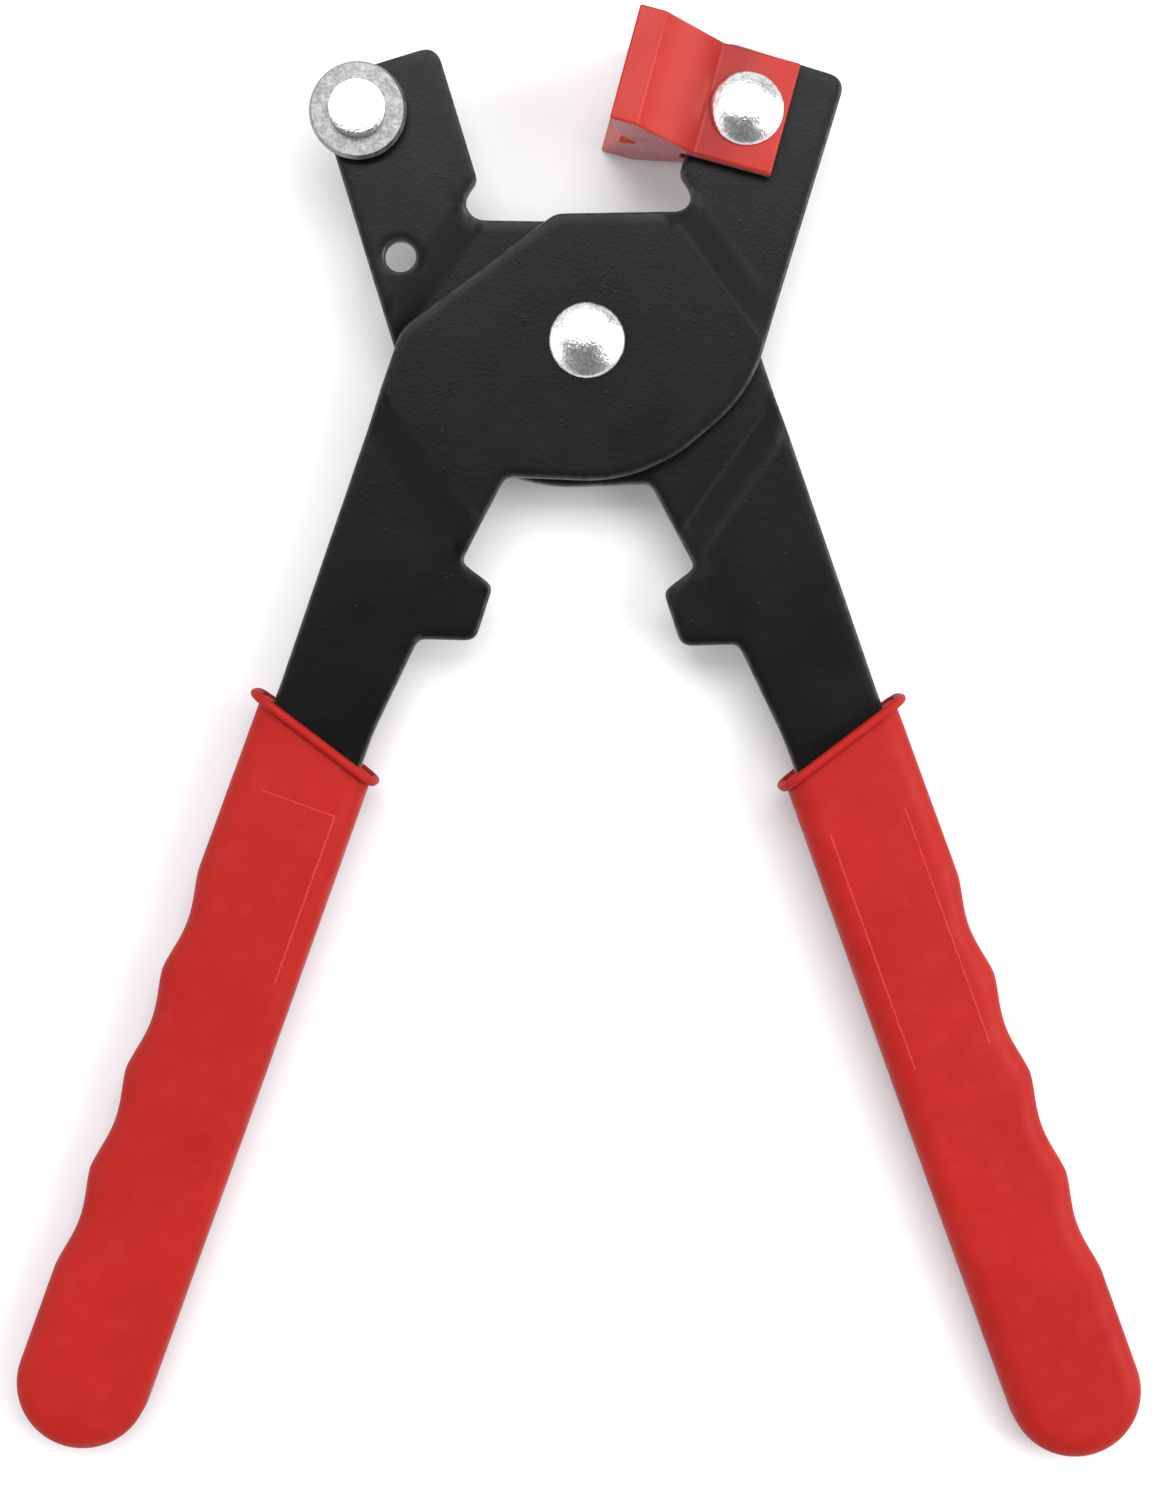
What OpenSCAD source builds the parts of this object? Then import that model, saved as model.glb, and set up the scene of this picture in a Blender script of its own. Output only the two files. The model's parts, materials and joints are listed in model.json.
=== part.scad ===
// Tile nippers: two crossed stamped levers on one rivet, a scoring wheel on
// one jaw and a winged breaker on the other. Lies flat, jaws toward +Y.

/* [Plates] */
// Thickness of the stamped plate
plate_t = 2.5; // [2.2:0.1:2.8]
// Thickness of the washer between the two pivot discs
thrust_t = 0.4; // [0.3:0.05:0.5]
// Play on each side of that washer
pivot_play = 0.05; // [0.03:0.01:0.1]
// Width across the joggle slope beside each pivot disc
joggle_run = 2.4; // [2:0.1:3]
// Direction of the joggle, from +X
joggle_turn = 35.5; // [34:0.5:37]
// Distance from the pivot to the joggle on the jaw side
joggle_jaw = 21.6; // [21.4:0.1:22.5]
// Distance from the pivot to the joggle on the handle side
joggle_handle = 29.8; // [29:0.1:31]

/* [Jaws] */
// Lean of each jaw away from the centre line
jaw_lean = 17; // [16:0.5:18]
// Width of the rear jaw plate
jaw_w = 19.25; // [18:0.05:20]
// Extra width of the front jaw plate
jaw_extra = 0.4; // [0:0.05:0.6]
// Length of the jaw above its tooth
jaw_len = 21; // [20:0.5:23]
// Rounding of the jaw corners
jaw_r = 2.2; // [1:0.1:3]
// Rounding of the corner under the scoring wheel
wheel_corner_r = 5.2; // [4:0.1:6]
// Diameter of the plain hole in the rear jaw
hang_hole_d = 4.8; // [4.2:0.1:5.2]

/* [Handles] */
// Lean of each handle away from the centre line
handle_lean = 20; // [19:0.5:21]
// Width of the handle bar inside the grip
bar_w = 15.6; // [14:0.1:16]
// Length of the handle bar from the grip mouth
bar_len = 112; // [100:1:114]
// Sideways reach of the closing stop beyond the handle edge
stop_reach = 5.9; // [5:0.1:6]

/* [Grips] */
// Length from the mouth to the centre of the rounded end, left grip
left_len = 109; // [106:0.1:112]
// Length from the mouth to the centre of the rounded end, right grip
right_len = 109.5; // [106:0.1:112]
// Width across the grip
grip_w = 20; // [19:0.5:21]
// Thickness of the grip
grip_t = 10; // [8:0.5:11]
// Rounding along the grip shoulders
grip_r = 3; // [2:0.1:3.5]
// Depth of the finger hollows
wave_depth = 1.1; // [0.6:0.1:1.4]
// Spacing of the finger hollows
wave_pitch = 16; // [15:0.5:17]
// Slant of the grip mouth
mouth_slant = 17.3; // [14:0.1:20]
// How far the rolled lip stands out
bead_out = 1.2; // [0.8:0.1:1.5]
// Length of the rolled lip along the handle
bead_len = 1.4; // [1:0.1:2]
// Height of the label frame line
frame_h = 0.15; // [0.1:0.01:0.2]

/* [Breaker] */
// Lean of the breaker face
breaker_lean = 15.2; // [15:0.1:16]
// Length of the breaker along the jaw
breaker_len = 17; // [16:0.5:18]
// Reach of each wing from the middle of the plate
wing_reach = 13.5; // [12:0.1:14]
// Thickness of the wing at its tip
wing_tip = 4.1; // [3.5:0.1:4.5]
// How much further the far wing reaches toward the other jaw
far_reach = 1.1; // [0:0.1:1.5]
// Depth of the shallow V across the face
vee_depth = 1.6; // [1:0.1:2]
// Width of the centre groove at its mouth
groove_w = 5.3; // [4:0.1:6]
// Depth of the centre groove below the V
groove_deep = 2.6; // [1.5:0.1:3]
// Half thickness over the breaker cheeks
cheek_z = 4; // [3.8:0.1:4.2]
// Gap between each cheek and the jaw plate
cheek_gap = 0.3; // [0.2:0.05:0.4]

/* [Scoring wheel] */
// Diameter over the cutting rim
wheel_d = 14.5; // [13.6:0.1:15]
// Thickness of the wheel
wheel_t = 2; // [1.6:0.1:2.4]
// Radial height of the rim bevel
wheel_bevel = 0.4; // [0.3:0.05:0.6]
// Thickness of the spacer under the wheel
spacer_t = 0.8; // [0.5:0.1:1]

/* [Rivets] */
// Diameter of the pivot rivet head
pivot_head_d = 11.4; // [10:0.1:12]
// Diameter of the pivot rivet shank
pivot_d = 6; // [5:0.1:7]
// Diameter of the breaker rivet head
breaker_head_d = 11; // [10:0.1:11]
// Diameter of the breaker rivet shank
breaker_pin_d = 5; // [4:0.1:5.5]
// Diameter of the wheel rivet head
wheel_head_d = 8.4; // [7.5:0.1:9]
// Diameter of the wheel rivet shank
wheel_pin_d = 4; // [3.5:0.1:4.5]
// Play around a shank in its hole
pin_play = 0.05; // [0.03:0.01:0.1]

/* [Hidden] */

black = [0.12, 0.12, 0.13];
red = [0.78, 0.16, 0.15];
pink = [0.86, 0.26, 0.2];
bright = [0.85, 0.85, 0.87];
grey = [0.62, 0.62, 0.64];

eps = 0.01;
big = 400;
arc_steps = 8;

disc_gap = thrust_t + 2 * pivot_play;
half_t = plate_t / 2;
disc_top = disc_gap / 2 + plate_t;
joggle_rise = disc_top - half_t;

// Unit vectors for a line leaning a degrees clockwise from +Y
function up(a) = [sin(a), cos(a)];
function side(a) = [cos(a), -sin(a)];

// The turned-over blank is carried sideways and down by this much
turn_shift = [-2.6, -0.8];

// Jaw corners, from the tooth at the throat
tooth = [13.75, 24.75];
jaw_in = tooth + jaw_len * up(jaw_lean);
function jaw_out(w) = jaw_in + w * side(jaw_lean);
function disc_right(w) = jaw_out(w) - (jaw_len + 28) * up(jaw_lean);
disc_low = [9, -21.2];
throat = [18.1, 19.2];
throat_r = 2.45;

// Handle corners, on the handle side of the pivot disc
crotch = [-12.2, -20.25];
notch = [-18.9, -32.9];
stop_top = notch + [stop_reach - 1.15, -3.6];
stop_low = stop_top - 8.65 * up(handle_lean - 2.2);
stop_root = [-25.4, stop_low[1] + 0.25];
disc_left = [-27.7, 1.82];
disc_top_left = [-4.7, 18.85];

// Handle bar axis: a long from the grip mouth, b outward from the axis
bar_root = [-39, -54.5];
function on_bar(a, b) = bar_root - a * up(handle_lean) - b * side(handle_lean);

// Finger hollows along the outer edge of the grip
wave_first = 29.5;
wave_count = 4;

// Breaker corner at the low end of the rear wing tip
breaker_root = [3.2, 30.75];
cheek_start = 13.2;
cheek_end = 24.9;
slot_floor = 11.2;
breaker_pin_u = 18.9;
function on_breaker(u, v) = breaker_root + u * side(breaker_lean) + v * up(breaker_lean);

pivot_pin = [0, 0];
breaker_pin = on_breaker(breaker_pin_u, breaker_len / 2);
wheel_pin = [-34, 33.9];
hang_hole = [-27.9, 12.7];

// Heights of the stacked washers and heads
back_washer_t = 0.8;
rivet_dome = 1.3;
tail_h = 1.2;
wheel_z = half_t + spacer_t + 2 * pivot_play;

// Where the pivot stands when the origin is under the middle of the whole tool
end_r = grip_w / 2;
reach_left = end_r - on_bar(left_len, 0)[0];
reach_right = end_r - on_bar(right_len, 0)[0] + turn_shift[0];
reach_down = end_r - on_bar(right_len, 0)[1] - turn_shift[1];
reach_up = on_breaker(-far_reach, breaker_len)[1];
pivot_at = [(reach_left - reach_right) / 2, (reach_down - reach_up) / 2, wing_reach];

// Arc that rounds corner p between a and b with radius r
function unit(v) = v / norm(v);
function corner(a, p, b, r) =
    let (u = unit(a - p), w = unit(b - p), half = acos(u * w) / 2)
    let (mid = p + unit(u + w) * r / sin(half))
    let (from = p + u * r / tan(half) - mid, to = p + w * r / tan(half) - mid)
    let (turn = 180 - 2 * half, way = sign(cross(from, to)))
    let (start = atan2(from[1], from[0]))
    [for (i = [0:arc_steps]) mid + r * [cos(start + way * turn * i / arc_steps),
                                        sin(start + way * turn * i / arc_steps)]];
function rounded(c) = [for (i = [0:len(c) - 1])
    let (a = c[(i + len(c) - 1) % len(c)], p = c[i], b = c[(i + 1) % len(c)])
    each (p[1] > 0 ? corner(a[0], p[0], b[0], p[1]) : [p[0]])];

// Stamped blank, seen from above, in front lever position
function blank(w, top_r) = rounded([
    [jaw_in, jaw_r], [jaw_out(w), top_r], [disc_right(w), 22], [disc_low, 25],
    [crotch, 1.2], [notch, 0.7], [stop_top, 1], [stop_low, 1.6], [stop_root, 1],
    [on_bar(1.5, -bar_w / 2), 20],
    [on_bar(bar_len, -bar_w / 2), 6], [on_bar(bar_len, bar_w / 2), 6],
    [on_bar(-1.5, bar_w / 2), 60],
    [disc_left, 6], [disc_top_left, 2.5], [throat, throat_r], [tooth, 0.8]]);

module at_pivot() {
    translate(pivot_at) children();
}

module turned_over() {
    translate([turn_shift[0], turn_shift[1], 0]) rotate([0, 180, 0]) children();
}

// Side view of the joggled sheet, as a band of plate thickness
module joggled_sheet() {
    top = [[-big, half_t], [-joggle_handle - joggle_run, half_t],
           [-joggle_handle, disc_top], [joggle_jaw, disc_top],
           [joggle_jaw + joggle_run, half_t], [big, half_t]];
    low = [for (i = [len(top) - 1:-1:0]) top[i] - [0, plate_t]];
    rotate([0, 0, joggle_turn])
        rotate([90, 0, 0])
            linear_extrude(height = big, center = true)
                polygon(concat(top, low));
}

module lever_plate(w, top_r) {
    intersection() {
        translate([0, 0, -5]) linear_extrude(height = 10) polygon(blank(w, top_r));
        joggled_sheet();
    }
}

module hole(at, d) {
    translate([at[0], at[1], -20]) cylinder(h = 40, d = d, $fn = 64);
}

module front_lever() {
    color(black) at_pivot() difference() {
        lever_plate(jaw_w + jaw_extra, jaw_r);
        hole(pivot_pin, pivot_d + 2 * pin_play);
        hole(breaker_pin, breaker_pin_d + 2 * pin_play);
    }
}

module rear_lever() {
    color(black) at_pivot() difference() {
        turned_over() lever_plate(jaw_w, wheel_corner_r);
        hole(pivot_pin, pivot_d + 2 * pin_play);
        hole(wheel_pin, wheel_pin_d + 2 * pin_play);
        hole(hang_hole, hang_hole_d);
    }
}

// Depth of the outer edge below the grip side at distance a from the mouth
crest_depth = 0.05;
function hollow(a) = let (n = (a - wave_first) / wave_pitch)
    crest_depth + wave_depth * pow(sin(180 * (n - floor(n))), 1.5);
wave_steps = 12;
function grip_edge(l) =
    let (last = wave_first + wave_count * wave_pitch)
    concat(
        [on_bar(-30, end_r + 2), on_bar(wave_first - 3, end_r + 2)],
        [for (i = [0:wave_steps * wave_count])
            let (a = wave_first + i * wave_pitch / wave_steps)
            on_bar(a, end_r - (i == wave_steps * wave_count ? crest_depth : hollow(a)))],
        [on_bar(last + 3, end_r + 2), on_bar(l + 5, end_r + 2),
         on_bar(l + 5, -end_r - 2), on_bar(-30, -end_r - 2)]);

// Works in a frame with Y down the handle and X outward
module bar_frame() {
    translate([bar_root[0], bar_root[1], 0])
        rotate([0, 0, 180 - handle_lean])
            children();
}

module round_box(w, t, l, r) {
    rotate([-90, 0, 0])
        linear_extrude(height = l)
            polygon(rounded([[[w / 2, t / 2], r], [[w / 2, -t / 2], r],
                             [[-w / 2, -t / 2], r], [[-w / 2, t / 2], r]]));
}

// Half of the grip section, turned about the middle of the rounded end
module grip_cap(l) {
    profile = rounded([[[0, grip_t / 2], 0], [[end_r, grip_t / 2], grip_r],
                       [[end_r, -grip_t / 2], grip_r], [[0, -grip_t / 2], 0]]);
    middle = on_bar(l, 0);
    translate([middle[0], middle[1], 0])
        rotate([0, 0, 180 - handle_lean])
            rotate_extrude(angle = 180, $fn = 96) polygon(profile);
}

// Everything beyond the slanted mouth line, moved back by d
module past_mouth(d) {
    bar_frame() translate([0, 4.4 - d, -20])
        rotate([0, 0, -mouth_slant]) translate([-40, 0, 0]) cube([80, 200, 40]);
}

module grip_lip() {
    w = (grip_w + 2 * bead_out) / cos(mouth_slant);
    t = grip_t + 2 * bead_out;
    bar_frame() translate([0, 4.4, 0]) rotate([0, 0, -mouth_slant])
        round_box(w, t, bead_len, grip_r + bead_out);
}

module label_frame(from, to, inner, outer) {
    line = 0.35;
    bar_frame() translate([0, 0, grip_t / 2 - 0.2]) difference() {
        translate([inner, from, 0]) cube([outer - inner, to - from, 0.2 + frame_h]);
        translate([inner + line, from + line, -1])
            cube([outer - inner - 2 * line, to - from - 2 * line, 3]);
    }
}

module grip_body(l) {
    intersection() {
        translate([0, 0, -10]) linear_extrude(height = 20) polygon(grip_edge(l));
        bar_frame() translate([0, -20, 0]) round_box(grip_w, grip_t, 20 + l, grip_r);
        past_mouth(0.7);
    }
    grip_cap(l);
    grip_lip();
}

module bar_pocket() {
    fit = 0.05;
    w = bar_w / 2 + fit;
    translate([0, 0, -half_t - fit]) linear_extrude(height = plate_t + 2 * fit)
        polygon(rounded([[on_bar(-30, -w), 0], [on_bar(bar_len + fit, -w), 6],
                         [on_bar(bar_len + fit, w), 6], [on_bar(-30, w), 0]]));
}

module left_grip() {
    color(red) at_pivot() difference() {
        union() {
            grip_body(left_len);
            label_frame(15, 41.6, -6.9, 4.5);
        }
        bar_pocket();
    }
}

module right_grip() {
    color(red) at_pivot() translate([turn_shift[0], turn_shift[1], 0]) mirror([1, 0, 0])
        difference() {
            union() {
                grip_body(right_len);
                label_frame(17.3, 54.7, -6.4, 5.4);
            }
            bar_pocket();
        }
}

// Rivet: low domed head above z_head, shank, closed tail below z_tail
module rivet(at, head_d, pin_d, tail_d, z_head, z_tail) {
    head_r = head_d / 2;
    ball = (head_r * head_r + rivet_dome * rivet_dome) / (2 * rivet_dome);
    tail_r = tail_d / 2;
    rise = 0.35;
    profile = concat(
        [[0, z_tail - tail_h]],
        [for (i = [0:arc_steps]) let (a = 90 * i / arc_steps)
            [tail_r - tail_h * (1 - sin(a)), z_tail - tail_h * cos(a)]],
        [[pin_d / 2, z_tail], [pin_d / 2, z_head], [head_r, z_head], [head_r, z_head + rise]],
        [for (i = [1:arc_steps]) let (r = head_r * (1 - i / arc_steps))
            [r, z_head + rise + sqrt(ball * ball - r * r) - ball + rivet_dome]]);
    translate([at[0], at[1], 0]) rotate_extrude($fn = 96) polygon(profile);
}

module washer(at, outer_d, inner_d, z, t) {
    translate([at[0], at[1], z]) difference() {
        cylinder(h = t, d = outer_d, $fn = 96);
        translate([0, 0, -1]) cylinder(h = t + 2, d = inner_d, $fn = 64);
    }
}

module pivot_rivet() {
    color(bright) at_pivot()
        rivet(pivot_pin, pivot_head_d, pivot_d, 9.4, disc_top,
              -disc_top - pivot_play - back_washer_t);
}

module pivot_thrust_washer() {
    color(grey) at_pivot()
        washer(pivot_pin, 20, pivot_d + 2 * pin_play, -thrust_t / 2, thrust_t);
}

module pivot_back_washer() {
    color(bright) at_pivot()
        washer(pivot_pin, 12.5, pivot_d + 2 * pin_play,
               -disc_top - pivot_play - back_washer_t, back_washer_t);
}

// Section of the breaker across the jaw: X away from the face, Y height
module breaker_section() {
    wall = half_t + cheek_gap;
    half = [[0, wing_reach], [wing_tip, wing_reach], [cheek_start, cheek_z],
            [cheek_end, cheek_z], [cheek_end, wall], [slot_floor, wall]];
    face = [[vee_depth, -groove_w / 2], [vee_depth + groove_deep, -0.65],
            [vee_depth + groove_deep, 0.65], [vee_depth, groove_w / 2]];
    other = [for (i = [len(half) - 1:-1:1]) [half[i][0], -half[i][1]]];
    far_tip = [[-far_reach, -wing_reach]];
    polygon(concat(half, other, far_tip, face));
}

module breaker_jaw() {
    color(pink) at_pivot() difference() {
        translate([breaker_root[0], breaker_root[1], 0])
            rotate([0, 0, -breaker_lean])
                translate([0, breaker_len, 0]) rotate([90, 0, 0])
                    linear_extrude(height = breaker_len) breaker_section();
        hole(breaker_pin, breaker_pin_d + 2 * pin_play);
    }
}

module breaker_rivet() {
    color(bright) at_pivot()
        rivet(breaker_pin, breaker_head_d, breaker_pin_d, 8, cheek_z + pivot_play,
              -cheek_z - pivot_play - back_washer_t);
}

module breaker_back_washer() {
    color(bright) at_pivot()
        washer(breaker_pin, 11, breaker_pin_d + 2 * pin_play,
               -cheek_z - pivot_play - back_washer_t, back_washer_t);
}

module scoring_wheel() {
    bore_r = wheel_pin_d / 2 + pin_play;
    face_r = wheel_d / 2 - wheel_bevel;
    color(grey) at_pivot() translate([wheel_pin[0], wheel_pin[1], wheel_z])
        rotate_extrude($fn = 128)
            polygon([[bore_r, 0], [face_r, 0], [wheel_d / 2, wheel_t / 2],
                     [face_r, wheel_t], [bore_r, wheel_t]]);
}

module wheel_rivet() {
    color(bright) at_pivot()
        rivet(wheel_pin, wheel_head_d, wheel_pin_d, 6.6, wheel_z + wheel_t + pivot_play,
              -half_t - back_washer_t);
}

module wheel_spacer() {
    color(grey) at_pivot()
        washer(wheel_pin, 8, wheel_pin_d + 2 * pin_play, half_t, spacer_t);
}

module wheel_back_washer() {
    color(bright) at_pivot()
        washer(wheel_pin, 9, wheel_pin_d + 2 * pin_play, -half_t - back_washer_t, back_washer_t);
}

front_lever();
rear_lever();
left_grip();
right_grip();
pivot_rivet();
pivot_thrust_washer();
pivot_back_washer();
breaker_jaw();
breaker_rivet();
breaker_back_washer();
scoring_wheel();
wheel_rivet();
wheel_spacer();
wheel_back_washer();
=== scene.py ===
import json
import math

import bmesh
import bpy
import numpy as np
from mathutils import Matrix, Vector
from mathutils.geometry import delaunay_2d_cdt


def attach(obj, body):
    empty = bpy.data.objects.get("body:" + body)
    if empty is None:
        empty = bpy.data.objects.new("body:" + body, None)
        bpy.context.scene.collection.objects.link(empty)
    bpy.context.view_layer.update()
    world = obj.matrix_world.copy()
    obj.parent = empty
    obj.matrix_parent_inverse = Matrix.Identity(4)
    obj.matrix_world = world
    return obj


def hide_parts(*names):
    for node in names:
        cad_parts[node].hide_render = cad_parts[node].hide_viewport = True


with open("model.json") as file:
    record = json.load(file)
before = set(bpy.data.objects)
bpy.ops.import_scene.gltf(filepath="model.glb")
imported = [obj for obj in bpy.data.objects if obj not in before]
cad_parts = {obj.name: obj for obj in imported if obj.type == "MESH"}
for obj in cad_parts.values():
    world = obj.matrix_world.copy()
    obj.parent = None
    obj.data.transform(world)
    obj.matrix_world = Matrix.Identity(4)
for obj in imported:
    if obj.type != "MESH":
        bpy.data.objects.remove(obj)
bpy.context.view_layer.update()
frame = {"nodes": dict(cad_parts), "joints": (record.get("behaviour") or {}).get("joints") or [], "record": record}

MM = 0.001
WELD = 1e-7
joints = {j["name"]: j for j in frame["joints"]}
PIVOT = Vector(joints["lever_pivot"]["pos_m"])


# ---------------------------------------------------------------- meshes
# Shapes are worked out in millimetres from the pivot, then moved to the row frame.

def to_mm(point):
    return (Vector(point) - PIVOT) / MM


def mesh_object(name, verts, faces, crease=180.0):
    """A smooth-shaded mesh, with the edges sharper than crease degrees kept sharp."""
    mesh = bpy.data.meshes.new(name)
    mesh.from_pydata([tuple(PIVOT + Vector(v) * MM) for v in verts], [], faces)
    tidy = bmesh.new()
    tidy.from_mesh(mesh)
    bmesh.ops.remove_doubles(tidy, verts=tidy.verts, dist=WELD)
    bmesh.ops.dissolve_degenerate(tidy, edges=tidy.edges, dist=WELD)
    bmesh.ops.recalc_face_normals(tidy, faces=tidy.faces)
    tidy.to_mesh(mesh)
    tidy.free()
    mesh.polygons.foreach_set("use_smooth", [True] * len(mesh.polygons))
    if crease < 180:
        mesh.set_sharp_from_angle(angle=math.radians(crease))
    obj = bpy.data.objects.new(name, mesh)
    bpy.context.scene.collection.objects.link(obj)
    return obj


def stand_in(obj, node, material):
    """obj is shown in place of a CAD node, on the same body."""
    obj.data.materials.clear()
    obj.data.materials.append(material)
    body = next(b for b, nodes in frame["record"]["behaviour"]["bodies"].items() if node in nodes)
    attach(obj, body)
    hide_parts(node)


def bake(obj):
    """Turns obj's modifiers into plain mesh."""
    bpy.context.view_layer.update()
    shown = obj.evaluated_get(bpy.context.evaluated_depsgraph_get())
    mesh = bpy.data.meshes.new_from_object(shown)
    obj.modifiers.clear()
    obj.data = mesh


def lathe(name, at, profile, steps=96, crease=40.0):
    """Closed profile of (radius, height) turned about the vertical through at."""
    verts, faces = [], []
    for r, z in profile:
        for s in range(steps):
            turn = 2 * math.pi * s / steps
            verts.append((at[0] + r * math.cos(turn), at[1] + r * math.sin(turn), z))
    n = len(profile)
    for i in range(n):
        j = (i + 1) % n
        if profile[i][0] == 0 and profile[j][0] == 0:
            continue
        for s in range(steps):
            t = (s + 1) % steps
            faces.append((i * steps + s, i * steps + t, j * steps + t, j * steps + s))
    return mesh_object(name, verts, faces, crease)


def rounded_corner(corner, before, after, r, steps=4):
    """Points of a fillet of radius r at a right-angled corner of a lathe profile."""
    c, a, b = (np.array(p, float) for p in (corner, before, after))
    u, w = (a - c) / np.linalg.norm(a - c), (b - c) / np.linalg.norm(b - c)
    mid = c + (u + w) * r
    return [tuple(mid - r * (w * math.cos(t) + u * math.sin(t)))
            for t in (math.pi / 2 * i / steps for i in range(steps + 1))]


# ---------------------------------------------------------------- materials
# Colours are linear. Noise scales are per metre, and bump distances are in metres.

def grey(shade):
    return (shade, shade, shade, 1)


class Shader:
    """A Principled material with short helpers for its node tree."""

    def __init__(self, name):
        self.material = bpy.data.materials.new(name)
        self.material.use_nodes = True
        self.tree = self.material.node_tree
        self.out = self.tree.nodes["Principled BSDF"]
        self.place = self.node("ShaderNodeTexCoord").outputs["Object"]

    def node(self, kind, **settings):
        node = self.tree.nodes.new(kind)
        for key, value in settings.items():
            setattr(node, key, value)
        return node

    def feed(self, socket, value):
        if isinstance(value, bpy.types.NodeSocket):
            self.tree.links.new(value, socket)
        else:
            socket.default_value = value

    def noise(self, scale, detail=3.0, rough=0.55):
        node = self.node("ShaderNodeTexNoise")
        self.feed(node.inputs["Vector"], self.place)
        node.inputs["Scale"].default_value = scale
        node.inputs["Detail"].default_value = detail
        node.inputs["Roughness"].default_value = rough
        return node.outputs["Fac"]

    def spots(self, scale, low, high):
        """Small round spots, 1 in the middle of each and 0 between them."""
        node = self.node("ShaderNodeTexVoronoi")
        self.feed(node.inputs["Vector"], self.place)
        node.inputs["Scale"].default_value = scale
        return self.span(node.outputs["Distance"], low, high, 1.0, 0.0)

    def span(self, value, low, high, to_low, to_high):
        """Maps low..high to to_low..to_high, eased at both ends."""
        node = self.node("ShaderNodeMapRange", interpolation_type="SMOOTHSTEP")
        self.feed(node.inputs["Value"], value)
        for key, number in zip(("From Min", "From Max", "To Min", "To Max"), (low, high, to_low, to_high)):
            node.inputs[key].default_value = number
        return node.outputs["Result"]

    def math(self, operation, a, b=0.0):
        node = self.node("ShaderNodeMath", operation=operation)
        self.feed(node.inputs[0], a)
        self.feed(node.inputs[1], b)
        return node.outputs[0]

    def mix(self, factor, a, b):
        node = self.node("ShaderNodeMix", data_type="RGBA")
        self.feed(node.inputs["Factor"], factor)
        self.feed(node.inputs["A"], a)
        self.feed(node.inputs["B"], b)
        return node.outputs["Result"]

    def blend(self, pattern, low, high, a, b):
        """Colour a where the pattern is below low, and b where it is above high."""
        return self.mix(self.span(pattern, low, high, 0.0, 1.0), a, b)

    def past(self, way, point):
        """How far the shaded place lies past a point, in metres along the direction way."""
        node = self.node("ShaderNodeVectorMath", operation="DOT_PRODUCT")
        self.feed(node.inputs[0], self.place)
        node.inputs[1].default_value = way
        return self.math("SUBTRACT", node.outputs["Value"], point.dot(way))

    def bump(self, height, distance, strength, under=None):
        node = self.node("ShaderNodeBump")
        node.inputs["Strength"].default_value = strength
        node.inputs["Distance"].default_value = distance
        self.feed(node.inputs["Height"], height)
        if under is not None:
            self.feed(node.inputs["Normal"], under)
        return node.outputs["Normal"]

    def finish(self, color, rough, normal, metallic=0.0, specular=0.5):
        self.feed(self.out.inputs["Base Color"], color)
        self.feed(self.out.inputs["Roughness"], rough)
        self.feed(self.out.inputs["Normal"], normal)
        self.feed(self.out.inputs["Metallic"], metallic)
        self.out.inputs["Specular IOR Level"].default_value = specular
        return self.material


def powder_coat():
    """Black coat with orange peel, pimples and dust, worn to metal on the rim and duller on the bends."""
    s = Shader("powder_coat")
    pimples = s.spots(800, 0.10, 0.26)
    some = s.span(s.noise(260, 1.0), 0.56, 0.66, 0.0, 1.0)
    pimples = s.math("MULTIPLY", pimples, some)
    dust = s.span(s.noise(9000, 2.0), 0.66, 0.74, 0.0, 1.0)
    color = s.blend(s.noise(38), 0.3, 0.7, grey(0.0012), grey(0.0025))
    color = s.mix(s.math("MULTIPLY", dust, 0.3), color, grey(0.03))
    rim = s.node("ShaderNodeAttribute", attribute_name="rim").outputs["Fac"]
    patchy = s.span(s.noise(700), 0.35, 0.6, 0.4, 1.0)
    thin = s.math("MULTIPLY", s.math("POWER", rim, 1.3), patchy)
    color = s.mix(thin, color, (0.10, 0.10, 0.102, 1))
    bend = s.node("ShaderNodeAttribute", attribute_name="bend").outputs["Fac"]
    rough = s.span(s.noise(120, 4.0), 0.3, 0.7, 0.31, 0.38)
    rough = s.math("ADD", rough, s.math("MULTIPLY", bend, 0.3))
    rough = s.math("SUBTRACT", rough, s.math("MULTIPLY", thin, 0.15))
    normal = s.bump(s.noise(1500, 2.0), 0.00007, 0.35)
    normal = s.bump(s.noise(5200, 2.0), 0.00002, 0.35, normal)
    normal = s.bump(pimples, 0.00004, 0.6, normal)
    return s.finish(color, rough, normal, metallic=thin, specular=0.165)


def vinyl(name, painted_highlight):
    """Soft red vinyl with faint blotches; its second argument pales it all over as a painted highlight."""
    s = Shader(name)
    color = s.blend(s.noise(45), 0.3, 0.7, (0.280, 0.0050, 0.0027, 1), (0.312, 0.0070, 0.0038, 1))
    # random blotches, plus the painted highlight that pales the whole material when the second argument is above
    # zero
    blotch_and_highlight = s.span(s.noise(260), 0.45, 0.75, painted_highlight, painted_highlight + 0.07)
    color = s.mix(blotch_and_highlight, color, (0.50, 0.05, 0.04, 1))
    rough = s.span(s.noise(150, 4.0), 0.3, 0.7, 0.48, 0.62)
    normal = s.bump(s.noise(900), 0.00005, 0.35)
    normal = s.bump(s.noise(4200, 2.0), 0.00002, 0.3, normal)
    return s.finish(color, rough, normal, specular=0.16)


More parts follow.
